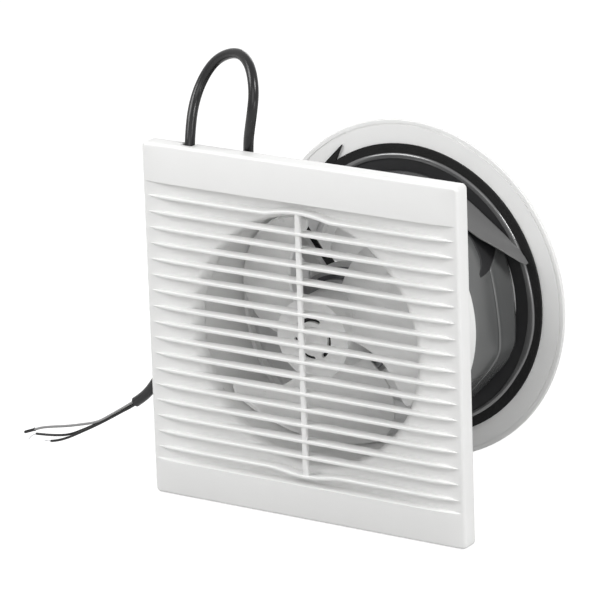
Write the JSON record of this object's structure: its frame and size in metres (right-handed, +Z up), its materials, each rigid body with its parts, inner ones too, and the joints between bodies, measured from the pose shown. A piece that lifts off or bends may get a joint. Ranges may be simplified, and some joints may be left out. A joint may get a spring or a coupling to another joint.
{
  "type": "through-wall exhaust fan",
  "caption": "Square slatted wall fan with a bell-mouth air inlet, ducted impeller and motor, dark wall sleeve, round outer flange with gravity flaps, and a loose power cord.",
  "frame": {"origin": "on the fan axis in the inner wall's plane, which is the back of the base plate and of the panel", "axes": "+Y along the fan axis out through the wall, +Z up, +X to the right as seen from the room"},
  "size_m": [0.3203, 0.136, 0.2746],
  "materials": {
    "white_plastic": "satin white moulding",
    "flange_white": "satin white moulding",
    "blade_plastic": "semi-gloss off-white",
    "cast_aluminium": "matte cast",
    "steel": "plain",
    "laminations": "dark stacked sheet",
    "enamelled_wire": "varnished copper wire",
    "bronze": "sintered",
    "washer_plastic": "matte",
    "dark_sheet": "glossy rolled sheet",
    "black_gloss": "glossy",
    "black_foam": "matte foam",
    "grommet_rubber": "matte",
    "cord_sheath": "semi-matte flexible sheath",
    "core_black_pvc": "semi-gloss insulation",
    "core_grey_pvc": "semi-gloss insulation"
  },
  "bodies": {
    "housing": {"base_frame": "white_plastic", "tube_grommet": "grommet_rubber", "motor_spider": "white_plastic", "spider_screws": "steel", "motor_front_cap": "cast_aluminium", "motor_rear_cap": "cast_aluminium", "motor_bolts": "steel", "stator_core": "laminations", "stator_coils": "enamelled_wire", "front_bush": "bronze", "rear_bush": "bronze", "wall_sleeve": "dark_sheet", "outer_collar": "black_gloss", "foam_ring": "black_foam", "outer_flange": "flange_white", "collar_screws": "steel", "flap_wires": "steel", "cord_gland": "grommet_rubber", "cord_feed": "cord_sheath", "cord_loop": "cord_sheath", "cord_channel": "cord_sheath", "cord_tail": "cord_sheath", "core_grey": "core_grey_pvc", "core_black": "core_black_pvc", "core_dark": "core_black_pvc", "core_ferrule": "core_black_pvc"},
    "grille": {"front_grille": "white_plastic"},
    "rotor": {"rotor_core": "laminations", "motor_shaft": "steel", "thrust_washers": "washer_plastic", "impeller_hub": "blade_plastic", "impeller_blades": "blade_plastic", "impeller_clip": "steel"},
    "flap_1": {"flap_1": "flange_white"},
    "flap_2": {"flap_2": "flange_white"},
    "flap_3": {"flap_3": "flange_white"},
    "flap_4": {"flap_4": "flange_white"},
    "flap_5": {"flap_5": "flange_white"}
  },
  "joints": [
    {"name": "grille_pull", "type": "slide", "parent": "housing", "child": "grille", "axis": [0, -1, 0], "range_m": [0, 0.025]},
    {"name": "impeller_spin", "type": "hinge", "parent": "housing", "child": "rotor", "pos_m": [0, 0, 0], "axis": [0, 1, 0], "continuous": true},
    {"name": "flap_1_swing", "type": "hinge", "parent": "housing", "child": "flap_1", "pos_m": [0, 0.1214, 0.0559], "axis": [1, 0, 0], "range_deg": [0, 75]},
    {"name": "flap_2_swing", "type": "hinge", "parent": "housing", "child": "flap_2", "pos_m": [0, 0.1214, 0.0299], "axis": [1, 0, 0], "range_deg": [0, 75]},
    {"name": "flap_3_swing", "type": "hinge", "parent": "housing", "child": "flap_3", "pos_m": [0, 0.1214, 0.0039], "axis": [1, 0, 0], "range_deg": [0, 75]},
    {"name": "flap_4_swing", "type": "hinge", "parent": "housing", "child": "flap_4", "pos_m": [0, 0.1214, -0.0221], "axis": [1, 0, 0], "range_deg": [0, 75]},
    {"name": "flap_5_swing", "type": "hinge", "parent": "housing", "child": "flap_5", "pos_m": [0, 0.1214, -0.0481], "axis": [1, 0, 0], "range_deg": [0, 75]}
  ]
}
